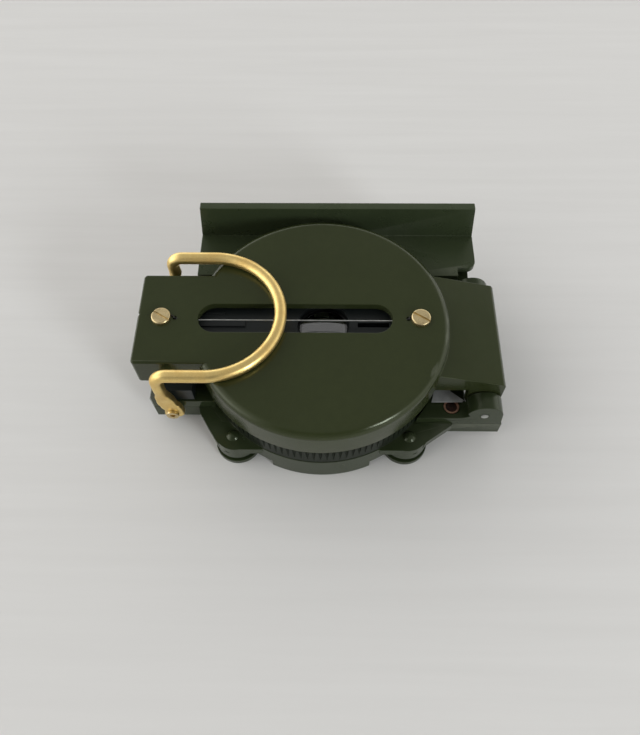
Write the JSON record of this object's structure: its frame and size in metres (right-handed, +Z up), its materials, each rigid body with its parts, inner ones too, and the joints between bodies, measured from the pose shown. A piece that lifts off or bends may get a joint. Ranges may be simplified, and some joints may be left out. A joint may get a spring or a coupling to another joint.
{
  "type": "sighting compass",
  "caption": "Folding lensatic sighting compass with slotted cover and hair wire, lens bracket, click bezel, brass wire thumb loop and side map ruler.",
  "frame": {"origin": "on the compass card's axis, at the flat underside", "axes": "+X towards the cover hinge, +Y towards the folding map ruler, +Z up"},
  "size_m": [0.0753, 0.0559, 0.0243],
  "materials": {
    "olive_lower": "semi-gloss olive green paint on the lower casting",
    "olive_upper": "semi-gloss olive green paint on the upper casting",
    "olive_cover": "satin olive green paint on the cover",
    "olive_ruler": "satin olive green paint on the ruler",
    "bottom_plate": "satin olive green paint",
    "bezel": "dark green-grey anodised metal, fluted",
    "black_plastic": "matt black moulding",
    "loop_brass": "polished drawn brass wire",
    "screw_brass": "turned brass",
    "copper": "dull copper rivet",
    "steel": "plain steel",
    "steel_pin": "plain steel pins and wire",
    "capsule": "white moulded capsule",
    "clear_glass": "clear crystal",
    "lens_glass": "ground reading lens",
    "seal_rubber": "black rubber",
    "card_black": "matt black card",
    "luminous": "pale green luminous paint",
    "magnet_steel": "magnet bar",
    "jewel_red": "synthetic jewel bearing"
  },
  "bodies": {
    "base": {"base_case": "olive_lower", "bottom_plate": "bottom_plate", "plate_screws": "steel", "upper_frame": "olive_upper", "capsule_bowl": "capsule", "capsule_seal": "seal_rubber", "capsule_glass": "clear_glass", "capsule_clamp_ring": "screw_brass", "index_mark": "card_black", "pivot_seat": "screw_brass", "pivot_needle": "steel_pin", "bezel_snap_ring": "steel_pin", "click_spring": "steel", "click_spring_rivet": "copper", "block_rivet": "copper", "lid_hinge_pin": "steel_pin", "bracket_pin": "steel_pin", "loop_rivets": "screw_brass", "ruler_pins": "steel_pin"},
    "card": {"compass_card": "card_black", "card_hub": "screw_brass", "card_magnet": "magnet_steel", "jewel_cup": "jewel_red", "north_arrow": "luminous"},
    "bezel": {"bezel_ring": "bezel", "bezel_glass": "clear_glass", "bezel_glass_ring": "black_plastic", "bezel_line": "luminous"},
    "cover": {"lid_shell": "olive_cover", "sight_wire": "steel_pin", "wire_screws": "screw_brass", "wire_nuts": "screw_brass", "lid_dots": "luminous"},
    "lens_bracket": {"lens_bracket": "black_plastic", "lens": "lens_glass", "lens_ring": "black_plastic"},
    "thumb_loop": {"thumb_loop": "loop_brass"},
    "map_ruler": {"map_ruler": "olive_ruler"}
  },
  "joints": [
    {"name": "cover_hinge", "type": "hinge", "parent": "base", "child": "cover", "pos_m": [0.0333, 0, 0.0103], "axis": [0, 1, 0], "range_deg": [0, 168]},
    {"name": "lens_bracket_hinge", "type": "hinge", "parent": "base", "child": "lens_bracket", "pos_m": [-0.0305, 0, 0.012], "axis": [0, -1, 0], "range_deg": [0, 84]},
    {"name": "thumb_loop_hinge", "type": "hinge", "parent": "base", "child": "thumb_loop", "pos_m": [-0.031, 0, 0.0074], "axis": [0, -1, 0], "range_deg": [0, 168]},
    {"name": "ruler_hinge", "type": "hinge", "parent": "base", "child": "map_ruler", "pos_m": [0, 0.02035, 0.00945], "axis": [-1, 0, 0], "range_deg": [0, 90]},
    {"name": "bezel_turn", "type": "hinge", "parent": "base", "child": "bezel", "pos_m": [0, 0, 0.01], "axis": [0, 0, 1], "continuous": true},
    {"name": "card_turn", "type": "hinge", "parent": "base", "child": "card", "pos_m": [0, 0, 0.008], "axis": [0, 0, 1], "continuous": true}
  ],
  "couplings": [
    {"joint": "lens_bracket_hinge", "follows": "cover_hinge", "ratio": 0.5},
    {"joint": "thumb_loop_hinge", "follows": "cover_hinge", "ratio": 1}
  ]
}
